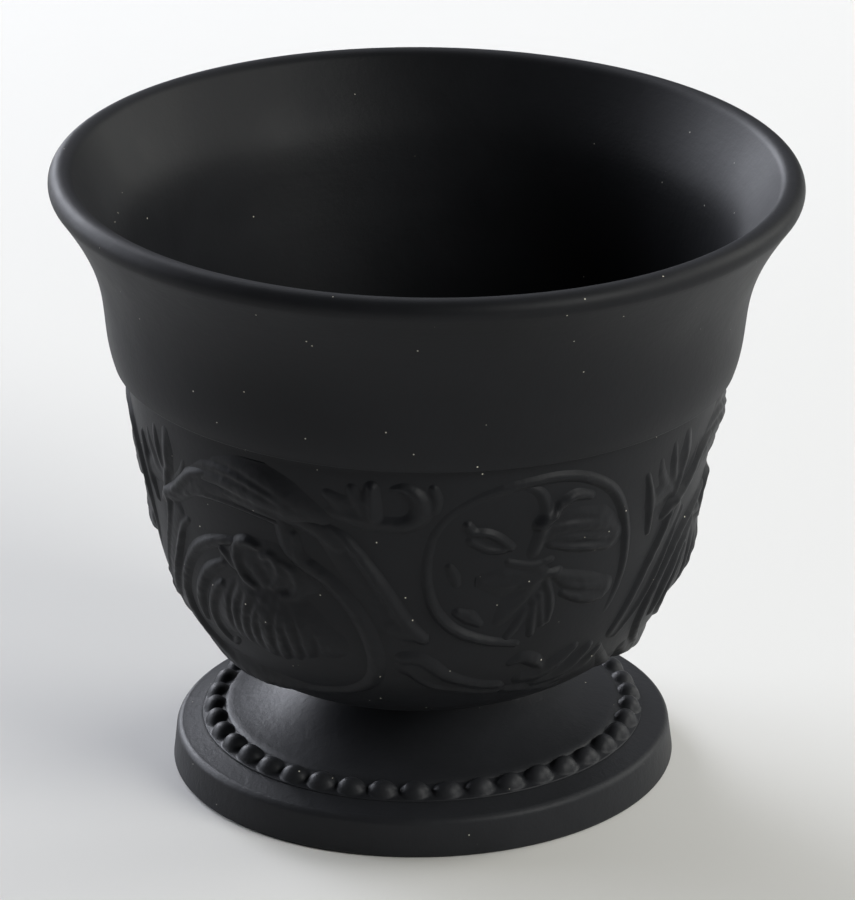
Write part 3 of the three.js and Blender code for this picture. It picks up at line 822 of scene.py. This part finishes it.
def open_flower(sheet):
    """A flower that opens to the right: petals on a low mass, a calyx, a bulb and three tails."""
    mass = stroke(sheet, [(24.4, 24.2), (29, 24.3), (34.4, 23.9), (39.2, 23)], [1.8, 4.4, 4.8, 3.2],
                  [0.4, 0.6, 0.66, 0.5], cord)
    low_mass = stroke(sheet, [(26.8, 20.8), (31, 19.9), (36, 19), (39.8, 18.6)], [1, 2.2, 2.8, 2.2],
                      [0.5, 0.6, 0.62, 0.5], cord)
    upright = stroke(sheet, [(19, 28.3), (21.6, 27.9), (23.2, 26.9), (23.4, 25.6), (22.6, 24.2),
                             (21.6, 22.9)],
                     [0.6, 1, 1.1, 1.2, 1.3, 1.3], [0.2, 0.5, 0.64, 0.7, 0.56, 0.4])
    fold = stroke(sheet, [(22.4, 25.2), (23.6, 25.6), (25.2, 25.9)], [1.3, 1.5, 1], 1.1)
    petals = strokes(sheet, [
        ([(24.2, 25.6), (26.6, 26.6), (29.6, 27.1), (33, 26.8)], [0.9, 1.1, 1.1, 0.8], 0.76),
        ([(24.8, 23.4), (28.8, 23), (33.8, 22.6), (39, 22.2)], [0.7, 1, 1.1, 0.9], 0.72),
        ([(29.2, 19), (32.6, 18.4), (36, 18), (39.4, 17.9)], [0.7, 0.9, 1.1, 0.9], 0.7),
    ], (0.75, 0.8))
    calyx = strokes(sheet, [
        ([(16.4, 22.4), (19.4, 22), (22.6, 21.8), (25.6, 22.1)], [0.6, 0.8, 0.9, 0.7], 0.42),
        ([(19.6, 20.2), (21.8, 20.5), (24.6, 20.8), (27.8, 21.1)], [0.8, 1, 0.9, 0.6], 0.5),
        ([(25, 20.4), (26.2, 19.2), (26.8, 17.8), (26.5, 16.8)], [0.7, 0.8, 0.8, 0.5], 0.46),
    ])
    bulb = stroke(sheet, [(11.6, 20.9), (15.4, 20.7), (19.4, 20.7), (23.4, 21.2)], [1.6, 3.2, 2.8, 1.6],
                  0.36)
    bract = stroke(sheet, [(15.4, 17.4), (17.4, 18.4), (20, 19.3), (22.6, 20.2)], [1.3, 2.4, 2.2, 1.3],
                   [0.26, 0.38, 0.42], petal)
    tails = strokes(sheet, [
        ([(17.6, 15.9), (19, 16.6), (21.2, 18.2)], [0.8, 1, 0.9], 0.4),
        ([(22.9, 15.9), (22.8, 17.2), (22.8, 18.8)], [0.7, 0.9, 0.9], 0.5),
        ([(25.2, 16.6), (24.6, 17.8), (24, 19.2)], [0.7, 0.8, 0.8], 0.42),
    ])
    fine_veins = veins(sheet, [
        [(13.4, 21.6), (17, 21.4), (21, 21.2)], [(12.8, 20.6), (17, 20.5), (21, 20.7)],
        [(16.6, 17.6), (19.2, 18.6), (22, 19.8)], [(17.6, 19.2), (20.2, 19.8), (22.8, 20.6)]])
    return creased(sheet, melted(mass, low_mass, upright, fold, bulb, bract, *calyx, *petals, *tails), [
        [(27.6, 26.2), (30.6, 26.4), (34.4, 26)], [(25.6, 25.1), (30, 25.2), (36.6, 24.7)],
        [(25.8, 24.1), (30, 24.1), (38, 23.6)], [(26.4, 23.3), (32, 23.1), (38.8, 22.7)],
        [(28.2, 20.3), (33, 19.7), (39.4, 19.3)], [(29.6, 19.4), (34, 18.9), (39.2, 18.5)]],
        depth=0.3) + fine_veins


# %% [markdown]
# ## The leaves
# Leaves fill the corners between the scrolls and the ledge, softly drawn on the real cup. One leaf could be
# stamped all over, but no two are alike there, so each is built from its own lobes.


# %% Leaves
def trefoil_leaf(sheet):
    """Four lobes on a short stalk, with a shoot at the left."""
    lobes = strokes(sheet, [
        ([(59.4, 24.7), (60, 26), (60.6, 27.4), (60.6, 28.5)], [1.4, 2, 2.1, 1.4], 0.38),
        ([(58.2, 24.8), (56.8, 26), (56, 27.3), (55.8, 28.3)], [1, 1.3, 1.3, 0.9], 0.32),
        ([(57.4, 24.6), (54.4, 25.3), (52.4, 26.4), (51.6, 27.6)], [1.1, 1.4, 1.3, 0.8], 0.26),
        ([(59.6, 24.4), (62.4, 24.9), (65, 25.9), (66.4, 27)], [0.9, 1.1, 1, 0.7], 0.24),
    ], (0.7, 0.6), petal)
    stalk = stroke(sheet, [(57.4, 23), (58.2, 24), (59.2, 25.2)], [0.9, 1.3, 1.1], 0.5)
    side = stroke(sheet, [(51, 21.8), (50.4, 23.2), (49.4, 25), (47.8, 26.8)], [0.7, 1, 1, 0.6],
                  [0.4, 0.56, 0.56, 0.4])
    under = stroke(sheet, [(50.4, 24.4), (53, 24.6), (56.6, 24.6)], [2.2, 2.6, 1.6], 0.28, cord)
    fine_veins = veins(sheet, [[(59.8, 25.4), (60.3, 26.8), (60.4, 28.2)],
                               [(57.6, 25.4), (56.4, 26.8), (56, 28)]])
    return melted(stalk, side, under, *lobes) + fine_veins


def base_leaf(sheet):
    """Five long lobes at the foot of the high scroll."""
    return melted(*strokes(sheet, [
        ([(19.6, 13.3), (22, 13.7), (24.8, 13.3), (27.4, 12.5)], [0.9, 1.5, 1.5, 1.1], 0.62),
        ([(23.4, 11.4), (27.4, 11.6), (31.6, 12.6), (35.4, 13.7)], [1.8, 2.2, 1.7, 0.9], 0.66),
        ([(27.8, 10.6), (32.6, 11), (36.8, 12.1), (40, 13.3)], [1.8, 2.2, 1.8, 0.9], 0.7),
        ([(31.5, 9.7), (37, 10.2), (41.4, 11.3), (43.8, 12.6)], [1.5, 2, 1.7, 1], 0.44),
        ([(20.4, 10), (25, 9.8), (31, 9.3), (36.5, 8.9)], [1.3, 2.1, 2, 1], 0.5),
    ], (0.7, 0.7), petal))


def crest_leaf(sheet):
    """A broad plume over the low scroll, with creases along it."""
    plume = stroke(sheet, [(-52, 26.1), (-46, 26.7), (-39, 27), (-32, 26.9), (-26, 26.3), (-20.6, 25.7)],
                   [1.6, 3.4, 4.8, 5.2, 4.2, 2], [0.2, 0.5, 0.85, 1.1, 1.1, 0.4])
    return creased(sheet, plume, [
        [(-51.5, 25.9), (-46, 26.2), (-40, 26.3), (-34.5, 26)],
        [(-50, 26.9), (-45, 27.3), (-39, 27.4), (-33, 27), (-28, 26.3)],
        [(-47, 28), (-41, 28.2), (-35, 27.9), (-29.6, 27.2), (-25.4, 26.3)],
        [(-33.6, 25.9), (-30, 25.4), (-27, 25)]], width=0.55, depth=0.24)


def curled_leaf(sheet):
    """A limb that curls up at its right end, with small lobes on its back."""
    limb = stroke(sheet, [(-18.6, 26.4), (-15, 26.1), (-11, 25.8), (-7, 25.7), (-3.4, 25.8), (-1.2, 26.5),
                          (-1, 27.5), (-2.2, 28.3), (-4.4, 28.7), (-6.2, 28.6)],
                  [1, 1.6, 1.9, 1.7, 1.6, 1.7, 1.9, 1.7, 1.1, 0.6],
                  [0.22, 0.38, 0.4, 0.42, 0.5, 0.66, 0.82, 0.84, 0.64, 0.36])
    lobes = strokes(sheet, [
        ([(-14.5, 26.3), (-16.4, 27.2), (-18.8, 27.8)], [1.3, 1.8, 1], 0.4),
        ([(-11.6, 26.3), (-12.8, 27.3), (-14, 28.4)], [1.4, 1.7, 1], 0.46),
        ([(-9.8, 26.3), (-10.2, 27.3), (-10.2, 28.6)], [1.3, 1.6, 1.2], 0.8),
        ([(1.8, 26.9), (2, 27.9), (1.4, 28.7)], [0.7, 1, 0.8], 0.5),
    ])
    fine_veins = veins(sheet, [[(-16, 26.3), (-10.6, 25.9), (-5, 25.9)], [(-10, 26.4), (-10.3, 28.2)],
                               [(-12, 26.6), (-13.6, 28)]])
    return melted(limb, *lobes) + fine_veins


def almond_leaf(sheet):
    """A hollow almond with two rims, under the high scroll."""
    body = stroke(sheet, [(8.6, 24.6), (12.2, 24.3), (16.6, 23.6)], [1, 1.9, 0.7], 0.16, cord)
    rims = strokes(sheet, [
        ([(8, 25.7), (9.2, 25.1), (11.6, 25), (14.2, 24.5), (16.8, 23.6)], 0.8, 0.66),
        ([(8.6, 24.4), (10.4, 23.9), (12.8, 23.5), (15.4, 23.4)], 0.7, 0.56),
    ])
    return melted(body, *rims)


def small_leaf(sheet):
    """A short leaf and a bud inside the high scroll."""
    leaf = stroke(sheet, [(6.6, 18.4), (8.8, 18), (11.4, 17.3)], [0.9, 1.6, 0.7], 0.5)
    bud = stroke(sheet, [(4.7, 22.3), (5.6, 21.6), (6.3, 20.8)], [0.7, 1.1, 0.7], 0.46)
    return melted(leaf, bud)


# %% [markdown]
# ## Laying the sprigs
# The same moulds serve all the way round, so the frieze repeats every 120 degrees. Linked copies would be
# exactly alike, but hand-laid clay isn't, so each copy has its own seed for its unevenness. The numbers are
# the part of the card that a sprig needs.

# %% Three repeats of every sprig
REPEATS = 3
sprigs = {
    "main_stem": (main_stem, (44, 121, 12, 28)),
    "trough_stem": (trough_stem, (-7, 21, 9, 16)),
    "high_scroll": (high_scroll, (-2, 48, 13, 30)),
    "low_scroll": (low_scroll, (-67, -6, 6.8, 26)),
    "open_flower": (open_flower, (10, 44, 14, 30)),
    "drooping_flower": (drooping_flower, (-60, -15, 9, 24)),
    "trefoil_leaf": (trefoil_leaf, (46, 71, 21, 29.8)),
    "base_leaf": (base_leaf, (17, 47, 7.5, 15)),
    "crest_leaf": (crest_leaf, (-54, -17, 24, 29.4)),
    "curled_leaf": (curled_leaf, (-22, 5, 24, 29.8)),
    "almond_leaf": (almond_leaf, (5, 20, 22, 27)),
    "small_leaf": (small_leaf, (3, 15, 16, 23)),
    "under_tendril": (under_tendril, (41, 77, 6, 14)),
}
for kind, (draw, limits) in sprigs.items():
    sheet = card(*limits)
    height = softened(draw(sheet), SOFT_PASSES)
    for i in range(REPEATS):
        piece = sprig(f"relief_{kind}_{i + 1}", sheet, uneven(height, i), i * 360 / REPEATS)
        stand_for(piece, f"{kind}_{i + 1}")
print("sprigs laid:", REPEATS * len(sprigs))

# %% [markdown]
# ## Camera
# The photograph was taken with a long lens from above the rim, with the camera a little askew. How round
# the rim and the foot look decides its height. A Track To constraint could aim it, but a matrix made from
# three axes keeps the roll exact.

# %% Camera
CAMERA_ABOVE = math.radians(22.57)
CAMERA_ROLL = math.radians(-0.77)
CAMERA_DISTANCE = 461.0
LENS_MM = 254.1
SENSOR_MM = 36.0
AIM = np.array([0.63, 0.0, 23.92])

back = np.array([0, -math.cos(CAMERA_ABOVE), math.sin(CAMERA_ABOVE)])
up = np.array([0, math.sin(CAMERA_ABOVE), math.cos(CAMERA_ABOVE)])
right = np.array([1.0, 0.0, 0.0])
turned_right = right * math.cos(CAMERA_ROLL) + up * math.sin(CAMERA_ROLL)
turned_up = up * math.cos(CAMERA_ROLL) - right * math.sin(CAMERA_ROLL)
camera = bpy.data.objects.new("camera", bpy.data.cameras.new("camera"))
bpy.context.scene.collection.objects.link(camera)
pose = np.eye(4)
pose[:3, :3] = np.column_stack([turned_right, turned_up, back])
pose[:3, 3] = (AIM + back * CAMERA_DISTANCE) * MM
camera.matrix_world = Matrix(pose.tolist())
camera.data.sensor_width = SENSOR_MM
camera.data.lens = LENS_MM
camera.data.clip_start = 0.01
bpy.context.scene.camera = camera
print(f"camera {CAMERA_DISTANCE:.0f} mm away, {math.degrees(CAMERA_ABOVE):.1f} degrees above the table")

# %% [markdown]
# ## Table
# The real cup stands on a pale, matt sheet. A curved backdrop could do the same, but a wide flat sheet shows
# no horizon in this view.

# %% Table
TABLE_COLOUR = "#dfdeda"
TABLE_METRES = 3.0
half = TABLE_METRES / 2
table_mesh = bpy.data.meshes.new("table")
table_mesh.from_pydata([(-half, -half, 0), (half, -half, 0), (half, half, 0), (-half, half, 0)], [],
                       [(0, 1, 2, 3)])
table = bpy.data.objects.new("table", table_mesh)
bpy.context.scene.collection.objects.link(table)
paper = bpy.data.materials.new("matt_paper")
paper.use_nodes = True
paper_surface = paper.node_tree.nodes["Principled BSDF"]
paper_surface.inputs["Base Color"].default_value = linear(TABLE_COLOUR)
paper_surface.inputs["Roughness"].default_value = 0.9
table_mesh.materials.append(paper)

# %% [markdown]
# ## Light
# A dark, dry surface shows its form in broad, faint reflections, so what counts is where large soft lamps
# stand. An even sky would wash the relief out. Two lamps at the left, two at the right and one above the
# back draw the bright sides seen in the photograph.

# %% Lamps
LAMP_DISTANCE = 0.9


def lamp(name, degrees, above, size, power, colour):
    """A square soft lamp that faces the cup; degrees run round it from the camera to the right."""
    data = bpy.data.lights.new(name, "AREA")
    data.shape = "SQUARE"
    data.size = size
    data.energy = power
    data.color = linear(colour)[:3]
    light = bpy.data.objects.new(name, data)
    turn, rise = math.radians(degrees), math.radians(above)
    light.location = [LAMP_DISTANCE * math.cos(rise) * math.sin(turn),
                      -LAMP_DISTANCE * math.cos(rise) * math.cos(turn), LAMP_DISTANCE * math.sin(rise)]
    light.rotation_mode = "QUATERNION"
    light.rotation_quaternion = light.location.to_track_quat("Z", "Y")
    bpy.context.scene.collection.objects.link(light)


lamp("window_behind_left", -148, 22, 0.35, 6.2, "#f2f5ff")
lamp("window_left", -118, 18, 0.5, 5.1, "#f0f4ff")
lamp("soft_box_right", 54, 30, 0.45, 5.6, "#fffffc")
lamp("soft_box_far_right", 113, 25, 0.6, 4.5, "#fffffa")
lamp("soft_box_behind", 180, 50, 1.0, 2.7, "#f4f6ff")
print("lamps:", len(bpy.data.lights))
dark_room = bpy.data.worlds.new("dark_room")
dark_room.use_nodes = True
dark_room.node_tree.nodes["Background"].inputs["Color"].default_value = linear("#000000")
bpy.context.scene.world = dark_room
bpy.context.scene.view_settings.view_transform = "Standard"
